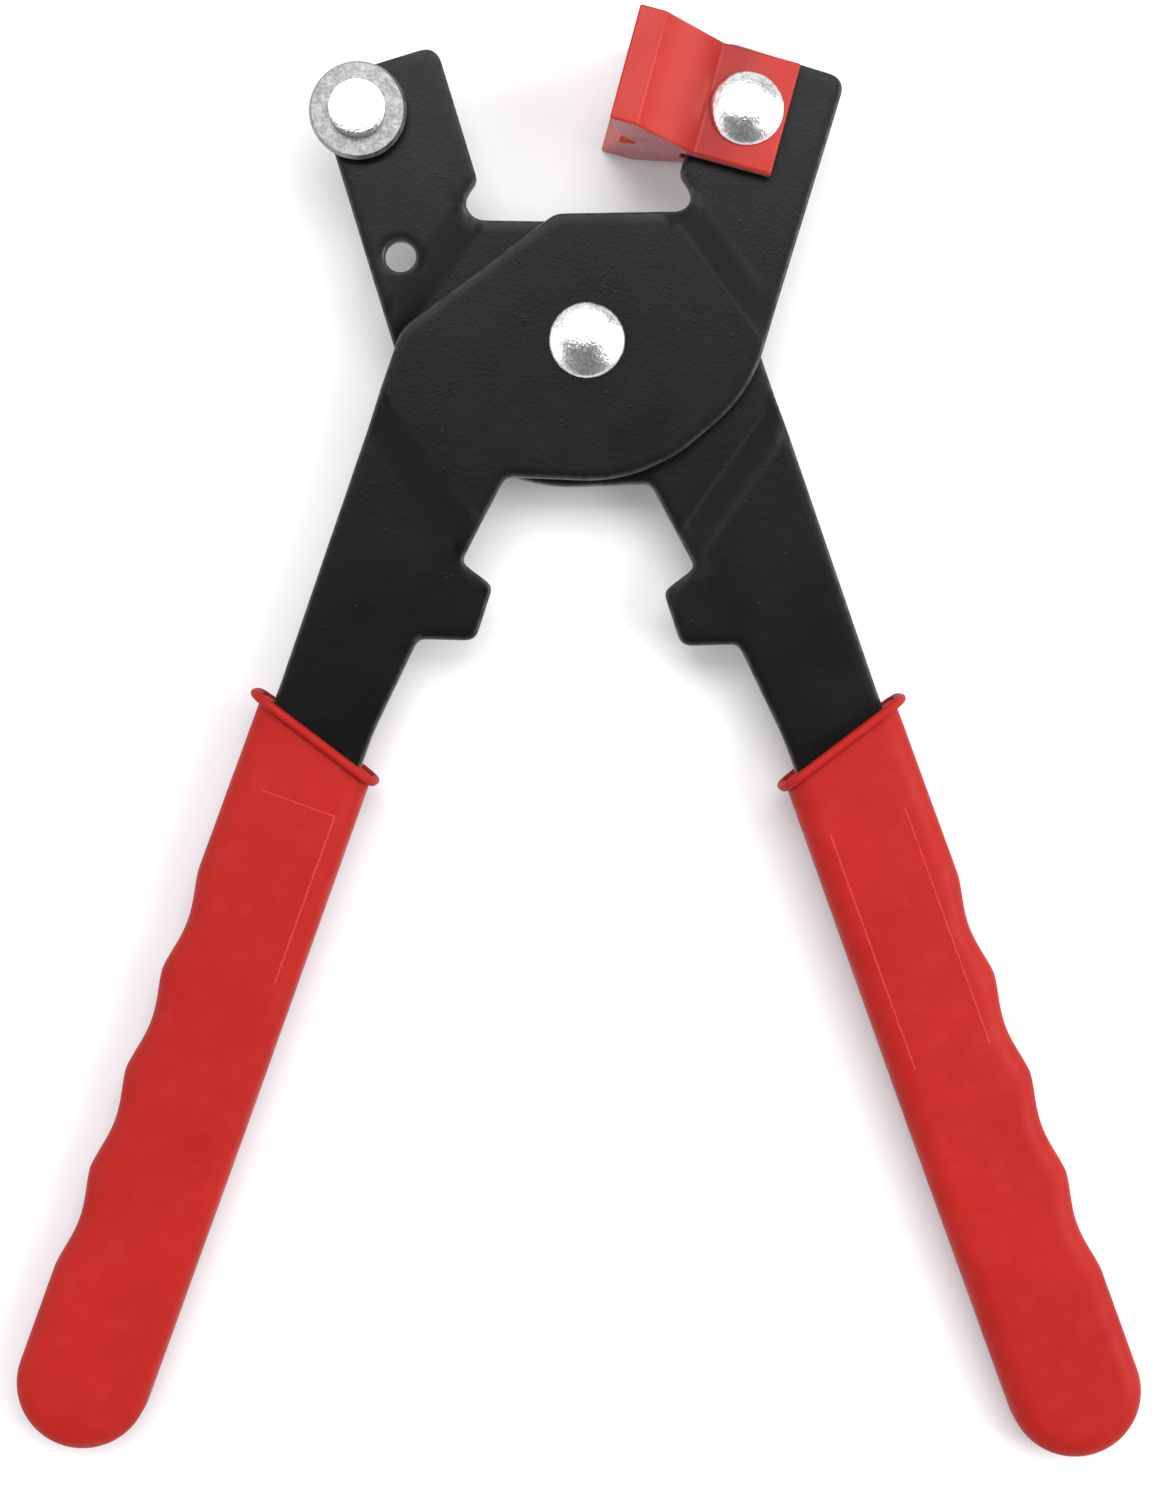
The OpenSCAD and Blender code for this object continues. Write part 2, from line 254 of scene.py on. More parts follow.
def block_plastic():
    """Red plastic with a painted sheen down the wing's slope, painted shade at the slope's root, and pale sawn
    ends.
    """
    s = Shader("block_plastic")
    color = s.blend(s.noise(70), 0.3, 0.7, (0.325, 0.014, 0.008, 1), (0.365, 0.019, 0.011, 1))
    middle = PIVOT + Vector(on_breaker(SLOPE_MIDDLE, BREAKER_LEN / 2)) * MM
    out = s.past(BREAKER_OUT, middle)
    # painted sheen: a paler streak down the middle of the slope, broken up by noise, stands in for the light
    # reflected there
    slope_painted_sheen = s.span(s.math("ABSOLUTE", out), 0.5 * MM, 4.5 * MM, 0.3, 0.0)
    slope_painted_sheen = s.math("MULTIPLY", slope_painted_sheen, s.span(s.noise(110), 0.3, 0.7, 0.6, 1.0))
    color = s.mix(slope_painted_sheen, color, (0.40, 0.075, 0.065, 1))
    # painted shade: darker red along the root of the slope, where the crease beside the cheek lies in shade
    from_shaded_root = s.math("ABSOLUTE", s.math("SUBTRACT", out, ROOT_PAST_SLOPE * MM))
    color = s.mix(s.span(from_shaded_root, 0.8 * MM, 7.0 * MM, 0.75, 0.0), color, (0.21, 0.007, 0.005, 1))
    end = s.math("ABSOLUTE", s.past(BREAKER_UP, middle))
    sawn = s.span(end, (BREAKER_LEN / 2 - 0.12) * MM, (BREAKER_LEN / 2 - 0.04) * MM, 0.0, 1.0)
    pale = s.mix(s.noise(420, 4.0, 0.65), (0.30, 0.040, 0.045, 1), (0.42, 0.075, 0.080, 1))
    color = s.mix(sawn, color, pale)
    rough = s.span(s.noise(200, 4.0), 0.3, 0.7, 0.26, 0.40)
    normal = s.bump(s.noise(60, 1.0), 0.0004, 0.3)
    normal = s.bump(s.noise(3600, 2.0), 0.00002, 0.25, normal)
    s.out.inputs["Sheen Weight"].default_value = 0.08
    s.out.inputs["Sheen Roughness"].default_value = 0.35
    return s.finish(color, rough, normal, specular=0.2)


def bright_plate():
    """Bright plating on the rivets, finely dimpled so that it breaks up reflections."""
    s = Shader("bright_plate")
    color = s.blend(s.noise(1600, 4.0, 0.7), 0.4, 0.65, (0.95, 0.95, 0.945, 1), grey(0.68))
    rough = s.span(s.noise(900, 4.0), 0.35, 0.75, 0.05, 0.13)
    normal = s.bump(s.noise(700, 1.0), 0.00008, 0.6)
    normal = s.bump(s.noise(2300, 4.0, 0.7), 0.00009, 0.6, normal)
    return s.finish(color, rough, normal, metallic=1.0)


def tumbled_steel():
    """Dull grey steel of the wheel."""
    s = Shader("tumbled_steel")
    mottle = s.noise(2200, 4.0, 0.7)
    color = s.blend(mottle, 0.35, 0.65, (0.21, 0.21, 0.213, 1), grey(0.325))
    rough = s.span(s.noise(800, 4.0), 0.3, 0.7, 0.42, 0.62)
    normal = s.bump(mottle, 0.00006, 0.5)
    return s.finish(color, rough, normal, metallic=1.0)


def zinc():
    """Plain plating of the hidden washers."""
    s = Shader("zinc")
    color = s.blend(s.noise(500, 4.0), 0.3, 0.7, (0.52, 0.52, 0.53, 1), grey(0.68))
    rough = s.span(s.noise(700, 4.0), 0.3, 0.7, 0.28, 0.45)
    normal = s.bump(s.noise(1500), 0.00004, 0.4)
    return s.finish(color, rough, normal, metallic=1.0)


def table_white():
    s = Shader("table_white")
    color = s.blend(s.noise(12), 0.3, 0.7, (0.71, 0.705, 0.72, 1), (0.725, 0.725, 0.73, 1))
    return s.finish(color, 0.75, s.bump(s.noise(700, 2.0), 0.00002, 0.2), specular=0.2)


# ---------------------------------------------------------------- levers

HALF_T = 1.25  # half the thickness of the plates
JOGGLE_TURN = math.radians(35.5)
JOGGLE_JAW, JOGGLE_HANDLE, JOGGLE_RUN, JOGGLE_RISE = 21.6, 29.8, 2.4, 1.5
TURN_SHIFT = (-2.6, -0.8)
ROLL_WIDE, ROLL_DEEP, EDGE_R = 1.75, 0.17, 0.42
RINGS = (0.015, 0.06, 0.13, 0.22, 0.32, 0.42, 0.7, 1.05, 1.45, 1.85)  # depths of the points beside an edge
OUTLINE_STEP, GRID_STEP, BEND_STEP, BEND_ALONG = 0.45, 2.2, 0.3, 0.8
RIM_WIDE = 0.55


def ease(t):
    t = np.clip(t, 0, 1)
    return t * t * (3 - 2 * t)


def joggle_height(u):
    """Height of the middle of the sheet at distance u from the pivot, square to the joggles."""
    soft, tail = 0.5, 2.6  # how far the slope starts before the bend and runs on after it
    jaw = ease(np.clip((u - JOGGLE_JAW + soft) / (JOGGLE_RUN + soft + tail), 0, 1) ** 0.8)
    handle = ease(np.clip((-u - JOGGLE_HANDLE + soft) / (JOGGLE_RUN + soft + tail), 0, 1) ** 0.8)
    return JOGGLE_RISE * (1 - jaw - handle)


def edge_drop(d):
    """How far the face falls away at distance d from the stamped edge."""
    roll = ROLL_DEEP * np.clip(1 - d / ROLL_WIDE, 0, 1) ** 2
    near = np.clip(EDGE_R - d, 0, EDGE_R)
    return roll + EDGE_R - np.sqrt(EDGE_R ** 2 - near ** 2)


def face_loops(node):
    """Boundary loops of the upward faces of a CAD plate, as arrays of (x, y) in millimetres.

    The inside of the plate is on the left of each loop.
    """
    mesh = frame["nodes"][node].data
    key = [tuple(round(c, 4) for c in to_mm(v.co)) for v in mesh.vertices]
    ways = set()
    for poly in mesh.polygons:
        if poly.normal.z > 0.5:
            ring = [key[i] for i in poly.vertices]
            ways.update((ring[i - 1], ring[i]) for i in range(len(ring)))
    after = {a: b for a, b in ways if (b, a) not in ways}
    loops = []
    while after:
        start, point = next(iter(after.items()))
        loop = [start]
        del after[start]
        while point != start:
            loop.append(point)
            point = after.pop(point)
        loops.append(np.array(loop)[:, :2])
    return loops


def resample(loop, step, smooth):
    """Evenly spaced points along a closed loop, lightly smoothed."""
    closed = np.vstack([loop, loop[:1]])
    along = np.concatenate([[0], np.cumsum(np.hypot(*np.diff(closed, axis=0).T))])
    n = max(24, int(along[-1] / step))
    t = np.linspace(0, along[-1], n, endpoint=False)
    out = np.stack([np.interp(t, along, closed[:, k]) for k in (0, 1)], 1)
    for _ in range(smooth):
        out = 0.5 * out + 0.25 * (np.roll(out, 1, 0) + np.roll(out, -1, 0))
    return out


def edge_distance(points, loops):
    """Distance of each point from the nearest edge."""
    best = np.full(len(points), 1e9)
    for loop in loops:
        a = loop
        ab = np.roll(loop, -1, 0) - a
        size = (ab ** 2).sum(1)
        for first in range(0, len(points), 1000):
            px, py = (points[first:first + 1000, k, None] - a[:, k] for k in (0, 1))
            t = np.clip((px * ab[:, 0] + py * ab[:, 1]) / size, 0, 1)
            gap = ((px - t * ab[:, 0]) ** 2 + (py - t * ab[:, 1]) ** 2).min(1)
            best[first:first + 1000] = np.minimum(best[first:first + 1000], np.sqrt(gap))
    return best


def is_inside(points, loops):
    """Whether each point is on the plate, by the even-odd rule."""
    inside = np.zeros(len(points), bool)
    for loop in loops:
        a, b = loop, np.roll(loop, -1, 0)
        rise = np.where(b[:, 1] == a[:, 1], 1e-12, b[:, 1] - a[:, 1])
        x, y = points[:, 0, None], points[:, 1, None]
        left = x < a[:, 0] + (y - a[:, 1]) / rise * (b[:, 0] - a[:, 0])
        inside ^= ((((a[:, 1] > y) != (b[:, 1] > y)) & left).sum(1) % 2).astype(bool)
    return inside


def across_joggles(points, turned):
    """Distance of each point from the pivot, square to the joggles."""
    x, y = points[:, 0], points[:, 1]
    if turned:
        x, y = -(x - TURN_SHIFT[0]), y - TURN_SHIFT[1]
    return x * math.cos(JOGGLE_TURN) + y * math.sin(JOGGLE_TURN)


def edge_rings(loops):
    """Points inside the edge at the depths in RINGS, and the depth of each."""
    edge = np.vstack(loops)
    inward = []
    for loop in loops:
        way = np.roll(loop, -1, 0) - np.roll(loop, 1, 0)
        way /= np.hypot(*way.T)[:, None]
        inward.append(np.stack([-way[:, 1], way[:, 0]], 1))
    inward = np.vstack(inward)
    rings = np.vstack([edge + inward * d for d in RINGS])
    depth = np.repeat(RINGS, len(edge))
    clear = edge_distance(rings, loops) > depth * 0.96 - 0.004
    return rings[clear], depth[clear]


def inner_points(loops, turned):
    """A coarse grid over the flats and close rows along the joggles, and each point's distance to an edge."""
    edge = np.vstack(loops)
    low, high = edge.min(0), edge.max(0)
    grid = np.array([(x + (row % 2) * GRID_STEP / 2, y)
                     for row, y in enumerate(np.arange(low[1], high[1], GRID_STEP * 0.87))
                     for x in np.arange(low[0], high[0], GRID_STEP)])
    u = across_joggles(grid, turned)
    flat = np.ones(len(grid), bool)
    for far in (u - JOGGLE_JAW, -u - JOGGLE_HANDLE):
        flat &= (far < -1.6) | (far > JOGGLE_RUN + 3.4)
    span = np.arange(-1.0, JOGGLE_RUN + 3.0, BEND_STEP)
    bends = np.concatenate([JOGGLE_JAW + span, -JOGGLE_HANDLE - span])
    rows = np.array([(d * math.cos(JOGGLE_TURN) - v * math.sin(JOGGLE_TURN),
                      d * math.sin(JOGGLE_TURN) + v * math.cos(JOGGLE_TURN))
                     for d in bends for v in np.arange(-70, 70, BEND_ALONG)])
    if turned:
        rows = np.stack([-rows[:, 0] + TURN_SHIFT[0], rows[:, 1] + TURN_SHIFT[1]], 1)
    inner = np.vstack([grid[flat], rows])
    inner = inner[is_inside(inner, loops)]
    gap = edge_distance(inner, loops)
    clear = gap > RINGS[-1] + 0.25
    return inner[clear], gap[clear]


def plate_triangles(loops, points, gaps):
    """Triangles of the plate seen from above, with their points and each point's distance to an edge."""
    sides, first = [], 0
    for loop in loops:
        n = len(loop)
        sides += [(first + i, first + (i + 1) % n) for i in range(n)]
        first += n
    placed, _, tris, source, _, _ = delaunay_2d_cdt([Vector(p) for p in points], sides, [], 0, 1e-5, True)
    placed = np.array([tuple(v) for v in placed])
    gaps = np.array([gaps[s[0]] if s else 0.0 for s in source])
    tris = np.array(tris)
    doubtful = np.flatnonzero(gaps[tris].max(1) == 0)
    outside = doubtful[~is_inside(placed[tris[doubtful]].mean(1), loops)]
    return placed, np.delete(tris, outside, 0), gaps


def lever(node, turned, material):
    """Stamped and joggled plate with rolled edges, from the outline of its CAD plate."""
    loops = [resample(loop, OUTLINE_STEP, 3) for loop in face_loops(node)]
    edge = np.vstack(loops)
    ring_points, ring_gaps = edge_rings(loops)
    inner, inner_gaps = inner_points(loops, turned)
    points = np.vstack([edge, ring_points, inner])
    gaps = np.concatenate([np.zeros(len(edge)), ring_gaps, inner_gaps])
    points, tris, gaps = plate_triangles(loops, points, gaps)

    u = across_joggles(points, turned)
    middle = (-1 if turned else 1) * joggle_height(u)
    top = middle + HALF_T - edge_drop(gaps)
    low = middle - HALF_T + 0.6 * edge_drop(gaps)
    n = len(points)
    verts = np.vstack([np.column_stack([points, top]), np.column_stack([points, low])])
    faces = [tuple(t) for t in tris] + [tuple(t[::-1] + n) for t in tris]
    ways = {(int(t[i - 1]), int(t[i])) for t in tris for i in range(3)}
    faces += [(b, a, a + n, b + n) for a, b in sorted(ways) if (b, a) not in ways]
    plate = mesh_object(node + "_plate", verts.tolist(), faces, 60.0)

    rim = plate.data.attributes.new("rim", "FLOAT", "POINT")
    rim.data.foreach_set("value", np.concatenate([np.clip(1 - gaps / RIM_WIDE, 0, 1), np.zeros(n)]))
    bend = plate.data.attributes.new("bend", "FLOAT", "POINT")
    steep = np.clip(np.abs(joggle_height(u + 0.2) - joggle_height(u - 0.2)) / 0.12, 0, 1)
    bend.data.foreach_set("value", np.concatenate([steep, steep]))
    stand_in(plate, node, material)


# ---------------------------------------------------------------- grips

BAR_ROOT = (-39.0, -54.5)  # where the handle's axis meets the grip's mouth
LEAN_BAR = math.radians(20)
MOUTH_SLANT = math.radians(17.3)
MOUTH_AT = 4.4
HALF_W, HALF_GRIP = 10.0, 5.0
END_R, WIDEN = HALF_W - 0.05, 0.5
SIDE_STEPS, END_STEPS = 260, 44
MOUTH_FADE = 12  # how far from the mouth its slant fades out of the outline
WAVE_FIRST, WAVE_PITCH, WAVE_COUNT, WAVE_DEPTH = 29.5, 16.0, 4, 1.1
SHOULDER_WIDE, SHOULDER_HIGH = 3.5, 3.2
DOME = 0.12  # how far the broad faces bulge
BEAD_R, BEAD_AT, BEAD_STEPS = 0.72, 0.7, 14
LIP_OUTER, LIP_INNER = (10.99, 5.46, 3.4), (8.45, 1.75, 0.4)  # half width, half height, corner
LINE_HALF, LINE_STEP = 0.16, 0.5
BOLD_LINE = 0.1  # frame lines at least this high get the paler vinyl, a painted highlight on the raised lines that catch the light
# Each label frame: start, end, inner side, outer side, and how high each of its four lines stands.
LEFT_LABEL = 15, 41.6, -6.9, 4.5, (0.14, 0.02, 0.04, 0.12)
RIGHT_LABEL = 17.3, 54.7, -6.4, 5.4, (0.04, 0.14, 0.06, 0.13)


def from_bar(a, b, z, mirrored):
    """A point a along the handle from the grip mouth and b outward from its axis."""
    x = BAR_ROOT[0] - a * math.sin(LEAN_BAR) - b * math.cos(LEAN_BAR)
    y = BAR_ROOT[1] - a * math.cos(LEAN_BAR) + b * math.sin(LEAN_BAR)
    if mirrored:
        x, y = -x + TURN_SHIFT[0], y + TURN_SHIFT[1]
    return (x, y, z)


def wave(a):
    """Depth of the finger hollows at a."""
    n = (a - WAVE_FIRST) / WAVE_PITCH
    if not 0 <= n <= WAVE_COUNT:
        return 0.0
    return WAVE_DEPTH * math.sin(math.pi * (n - math.floor(n))) ** 1.5


def grip_path(length):
    """Outline points (a, b, direction inward) from the mouth, round the end and back."""
    def half(a):
        return min(HALF_W, END_R + WIDEN * (a / length - 0.5))

    start = MOUTH_AT + 0.5
    tilt = math.tan(MOUTH_SLANT)
    path = []
    first = start - HALF_W * tilt
    for i in range(SIDE_STEPS + 1):
        a = first + (length - first) * i / SIDE_STEPS
        path.append((a, half(a) - wave(a), (tilt * max(0, 1 - (a - first) / MOUTH_FADE), -1)))
    for i in range(1, END_STEPS):
        t = math.pi * i / END_STEPS
        path.append((length + END_R * math.sin(t), half(length) * math.cos(t), (-math.sin(t), -math.cos(t))))
    first = start + HALF_W * tilt
    for i in range(SIDE_STEPS, -1, -1):
        a = first + (length - first) * i / SIDE_STEPS
        path.append((a, -half(a), (-tilt * max(0, 1 - (a - first) / MOUTH_FADE), 1)))
    return path


def grip_skin(length, mirrored):
    """Closed sleeve body: side wall, soft shoulders and two gently domed faces."""
    path = grip_path(length)
    n = len(path)
    profile = []
    shoulder_steps = 12
    for i in range(shoulder_steps + 1):
        t = math.pi / 2 * i / shoulder_steps
        profile.append((SHOULDER_WIDE * (1 - math.cos(t)),
                        HALF_GRIP - SHOULDER_HIGH + (SHOULDER_HIGH - DOME) * math.sin(t)))
    profile = [(d, -z) for d, z in reversed(profile)] + [(0.0, 0.0)] + profile
    verts, faces = [], []
    for d, z in profile:
        for a, b, way in path:
            verts.append((a + way[0] * d, b + way[1] * d, z))
    rows = len(profile)
    for j in range(rows - 1):
        for i in range(n - 1):
            faces.append((j * n + i, j * n + i + 1, (j + 1) * n + i + 1, (j + 1) * n + i))
    columns = 14
    ends = []
    for ring, up in ((rows - 1, 1), (0, -1)):
        base = ring * n
        strips = []
        for i in range(n // 2):
            left, right = verts[base + i], verts[base + n - 1 - i]
            strip = [base + i]
            for c in range(1, columns):
                t = c / columns
                dome = DOME * (1 - (2 * t - 1) ** 2) * min(1, abs(left[1] - right[1]) / 8)
                verts.append((left[0] + (right[0] - left[0]) * t, left[1] + (right[1] - left[1]) * t,
                              left[2] + up * dome))
                strip.append(len(verts) - 1)
            strip.append(base + n - 1 - i)
            strips.append(strip)
        for i in range(len(strips) - 1):
            for c in range(columns):
                faces.append((strips[i][c], strips[i][c + 1], strips[i + 1][c + 1], strips[i + 1][c]))
        tip = strips[-1] + ([base + n // 2] if n % 2 else [])
        faces.append(tuple(tip))
        ends.append(strips[0])
    mouth = [j * n for j in range(rows)] + ends[0][1:-1] + [j * n + n - 1 for j in reversed(range(rows))]
    mouth += list(reversed(ends[1][1:-1]))
    faces.append(tuple(mouth))
    return [from_bar(*v, mirrored) for v in verts], faces


def mouth_ring(half_w, half_t, corner, t):
    """A point of the rounded section in the slanted mouth plane, t from 0 to 1, and its outward direction."""
    flat_w, flat_t = half_w - corner, half_t - corner
    arc = math.pi / 2 * corner
    turn = t * (4 * flat_w + 4 * flat_t + 4 * arc)
    for k in range(4):
        run, cx, cy = (2 * flat_t, flat_w, flat_t) if k % 2 == 0 else (2 * flat_w, flat_t, flat_w)
        angle = k * math.pi / 2
        ca, sa = math.cos(angle), math.sin(angle)
        if turn <= run:
            x, y = cx + corner, -cy + turn
            return (x * ca - y * sa, x * sa + y * ca), (ca, sa)
        turn -= run
        if turn <= arc or k == 3:
            phi = min(turn / corner, math.pi / 2)
            x, y = cx + corner * math.cos(phi), cy + corner * math.sin(phi)
            return (x * ca - y * sa, x * sa + y * ca), (math.cos(phi + angle), math.sin(phi + angle))
        turn -= arc


def mouth_band(section, mirrored, around=180):
    """A closed band swept round the mouth.

    Each section point is (ring, out, along), where a ring is (half_w, half_t, corner).
    """
    verts, faces = [], []
    k = len(section)
    for i in range(around):
        for ring, out, along in section:
            (w, z), (ow, oz) = mouth_ring(*ring, i / around)
            c, s = math.cos(MOUTH_SLANT), math.sin(MOUTH_SLANT)
            across = w + ow * out
            b = across * c + along * s
            a = MOUTH_AT - across * s + along * c
            verts.append(from_bar(a, b, z + oz * out, mirrored))
    for i in range(around):
        j = (i + 1) % around
        for q in range(k):
            r = (q + 1) % k
            faces.append((i * k + q, i * k + r, j * k + r, j * k + q))
    return verts, faces


def label_frame(start, end, inner, outer, heights, mirrored):
    """Thin raised line round a label panel, and which of its faces are bold, meaning they carry the painted
    highlight.
    """
    corners = [(start, inner), (start, outer), (end, outer), (end, inner)]
    path = []
    for k in range(4):
        (a0, b0), (a1, b1) = corners[k], corners[(k + 1) % 4]
        steps = int(math.hypot(a1 - a0, b1 - b0) / LINE_STEP)
        for i in range(steps):
            t = i / steps
            worn = 0.65 + 0.35 * math.sin(1.7 * (a0 + (a1 - a0) * t) + 2.3 * (b0 + (b1 - b0) * t))
            way = Vector((a1 - a0, b1 - b0)).normalized()
            path.append((a0 + (a1 - a0) * t, b0 + (b1 - b0) * t, way, heights[k], worn))
    verts, faces, bold = [], [], []
    n = len(path)
    for i, (a, b, way, high, worn) in enumerate(path):
        high *= worn
        before = path[i - 1][2]
        bisect = Vector((-(way.y + before.y), way.x + before.x))
        bisect /= max(0.5, bisect.dot(Vector((-way.y, way.x))))
        face_z = HALF_GRIP - DOME * (min(1, abs(b) / (HALF_W - SHOULDER_WIDE)) ** 2)
        half_section = ((0.3 * LINE_HALF, high), (LINE_HALF, -0.02), (1.6 * LINE_HALF, -0.25))
        for out, z in [(-d, z) for d, z in reversed(half_section)] + list(half_section):
            verts.append(from_bar(a + bisect.x * out, b + bisect.y * out, face_z + z, mirrored))
    for i in range(n):
        j = (i + 1) % n
        for q in range(6):
            r = (q + 1) % 6
            faces.append((i * 6 + q, i * 6 + r, j * 6 + r, j * 6 + q))
            bold.append(int(path[i][3] >= BOLD_LINE))
    return verts, faces, bold


def grip(node, length, label, mirrored, material, highlight_material):
    """Sleeve over a handle bar: body, rolled lip, the flange behind it, and a blank label frame."""
    bead = [(LIP_OUTER, BEAD_R * math.cos(t), BEAD_AT + BEAD_R * math.sin(t))
            for t in (2 * math.pi * i / BEAD_STEPS for i in range(BEAD_STEPS))]
    flange = [(LIP_INNER, 0, 1.3), (LIP_OUTER, 0, 0.35), (LIP_OUTER, 0, 1.05), (LIP_INNER, 0, 2.0)]
    line_verts, line_faces, bold = label_frame(*label, mirrored)
    parts = [grip_skin(length, mirrored), mouth_band(bead, mirrored), mouth_band(flange, mirrored),
             (line_verts, line_faces)]
    verts, faces = [], []
    for part_verts, part_faces in parts:
        first = len(verts)
        verts += part_verts
        faces += [tuple(i + first for i in f) for f in part_faces]
    sleeve = mesh_object(node + "_sleeve", verts, faces, 50.0)
    stand_in(sleeve, node, material)
    # the bold frame lines take the paler vinyl, a painted highlight
    sleeve.data.materials.append(highlight_material)
    sleeve.data.polygons.foreach_set("material_index", [0] * (len(faces) - len(bold)) + bold)


# ---------------------------------------------------------------- breaker

BREAKER_ROOT = (3.2, 30.75)
BREAKER_LEAN = math.radians(15.2)
BREAKER_LEN = 17.0
BREAKER_PIN = (18.9, 8.5)
WING, CHEEK, SLOT = 13.5, 4.0, 1.55  # heights of the wing tips, the cheeks and the slot for the jaw
WING_THICK, SLOPE_END, CHEEK_END, SLOT_END = 4.1, 13.2, 24.9, 11.2  # distances back from the wing tips
FAR_REACH = 1.1  # how much further the far wing reaches out
SLOPE_MIDDLE, ROOT_PAST_SLOPE = 8.2, 6.8  # where the painted sheen runs down the slope, and where the painted shade lies past it
BREAKER_UP = Vector((math.sin(BREAKER_LEAN), math.cos(BREAKER_LEAN), 0))
BREAKER_OUT = Vector((math.cos(BREAKER_LEAN), -math.sin(BREAKER_LEAN), 0))


def on_breaker(u, v, z=0.0):
    """A point u back from the near wing's tip and v up along the block."""
    return (BREAKER_ROOT[0] + u * math.cos(BREAKER_LEAN) + v * math.sin(BREAKER_LEAN),
            BREAKER_ROOT[1] - u * math.sin(BREAKER_LEAN) + v * math.cos(BREAKER_LEAN), z)


def breaker(material):
    """Winged block that straddles the jaw, with a shallow V face and a groove down its middle."""
    near = [(0, WING), (WING_THICK, WING), (SLOPE_END, CHEEK), (CHEEK_END, CHEEK),
            (CHEEK_END, SLOT), (SLOT_END, SLOT)]
    far = [(u, -z) for u, z in reversed(near[1:])]
    groove = [(1.6, -2.65), (4.2, -0.65), (4.2, 0.65), (1.6, 2.65)]
    section = near + far + [(-FAR_REACH, -WING)] + groove
    n = len(section)
    verts = [on_breaker(u, v, z) for v in (0, BREAKER_LEN) for u, z in section]
    faces = [tuple(range(n)), tuple(range(2 * n - 1, n - 1, -1))]
    faces += [(i, i + n, (i + 1) % n + n, (i + 1) % n) for i in range(n)]
    block = mesh_object("breaker_block", verts, faces)
    pin = on_breaker(*BREAKER_PIN)
    drill = lathe("drill", pin, [(0, -20), (2.55, -20), (2.55, 20), (0, 20)], 64)
    cut = block.modifiers.new("bore", "BOOLEAN")
    cut.operation, cut.solver, cut.object = "DIFFERENCE", "EXACT", drill
    bake(block)
    bpy.data.objects.remove(drill)
    soften = block.modifiers.new("soften", "BEVEL")
    soften.width, soften.segments, soften.limit_method = 0.38 * MM, 4, "ANGLE"
    soften.angle_limit = math.radians(12)
    bake(block)
    block.data.polygons.foreach_set("use_smooth", [True] * len(block.data.polygons))
    block.data.set_sharp_from_angle(angle=math.radians(50))
    weighted = block.modifiers.new("even", "WEIGHTED_NORMAL")
    weighted.keep_sharp = True
    stand_in(block, "breaker_jaw", material)


# ---------------------------------------------------------------- rivets, washers and wheel

WHEEL_PIN = (-34.0, 33.9)
HEAD, TAIL = 1.65, 1.2  # heights of a rivet's head and tail
TAIL_STEPS, HEAD_STEPS = 14, 24


def rivet(node, at, head_r, pin_r, tail_r, z_head, z_tail, dome, material):
    """Low domed head with a rolled rim, shank, and a spun tail with a shallow dimple."""
    end = z_tail - TAIL
    profile = [(0, end + 0.25), (tail_r * 0.18, end + 0.2), (tail_r * 0.32, end + 0.04)]
    for i in range(1, TAIL_STEPS + 1):
        t = math.pi / 2 * i / TAIL_STEPS
        r = tail_r - TAIL * (1 - math.sin(t))
        profile.append((r, z_tail - TAIL * math.cos(t)))
    rim = HEAD - dome
    profile += [(pin_r, z_tail), (pin_r, z_head), (head_r - 0.12, z_head), (head_r, z_head + 0.08),
                (head_r, z_head + rim - 0.2), (head_r - 0.05, z_head + rim - 0.06)]
    for i in range(1, HEAD_STEPS + 1):
        r = (head_r - 0.2) * (1 - i / HEAD_STEPS)
        turning = 0.004 * math.cos(2 * math.pi * r / 0.55) * (r > 0.55 * head_r)
        profile.append((r, z_head + rim + dome * (1 - (r / head_r) ** 2.4) + turning))
    stand_in(lathe(node + "_turned", at, profile, 128), node, material)


def washer(node, at, outer, inner, low, thick, material):
    """Flat ring with its two outer edges rounded."""
    a, b, c, d = (inner, low), (outer, low), (outer, low + thick), (inner, low + thick)
    edge = min(0.12, thick * 0.35)
    profile = [a] + rounded_corner(b, a, c, edge) + rounded_corner(c, b, d, edge) + [d]
    stand_in(lathe(node + "_ring", at, profile), node, material)


def wheel(material):
    """Cutting wheel: flat faces, a fine bevel ground to a keen rim, broken inner edges."""
    low, thick, r, bore, bevel = 2.15, 2.0, 7.25, 2.05, 0.4
    profile = [(bore, low + 0.1), (bore + 0.1, low), (r - bevel - 0.05, low), (r - bevel, low + 0.04),
               (r - 0.03, low + thick / 2 - 0.05), (r, low + thick / 2), (r - 0.03, low + thick / 2 + 0.05),
               (r - bevel, low + thick - 0.04), (r - bevel - 0.05, low + thick),
               (bore + 0.1, low + thick), (bore, low + thick - 0.1)]
    disc = lathe("cutting_wheel", WHEEL_PIN, profile, 160, 25.0)
    stand_in(disc, "scoring_wheel", material)


# ---------------------------------------------------------------- stage, lights and camera

# Cards, lights and camera are in metres from the pivot, and the floor in millimetres.

LEAN = math.radians(2.0)
CAM_HEIGHT = 0.400
CAM_OFFSET = Vector((-0.000816, -0.06115, CAM_HEIGHT))
SENSOR_MM = 36
VIEW_WIDE = 0.17445  # width of the picture at the height of the pivot
LENS_MM = SENSOR_MM * CAM_HEIGHT / VIEW_WIDE
CARD_HIGH = 0.6
FLOOR_SLOPE, FLOOR_HALF = 0.0445, 900
WING_TIP_Y = 31


def add_floor(material):
    """Table top that touches the breaker's wing and the ends of the grips."""
    half = FLOOR_HALF
    corners = (-half, -half), (half, -half), (half, half), (-half, half)
    verts = [(x, y, (WING_TIP_Y - y) * FLOOR_SLOPE - WING) for x, y in corners]
    floor = mesh_object("floor", verts, [(0, 1, 2, 3)])
    floor.data.materials.append(material)


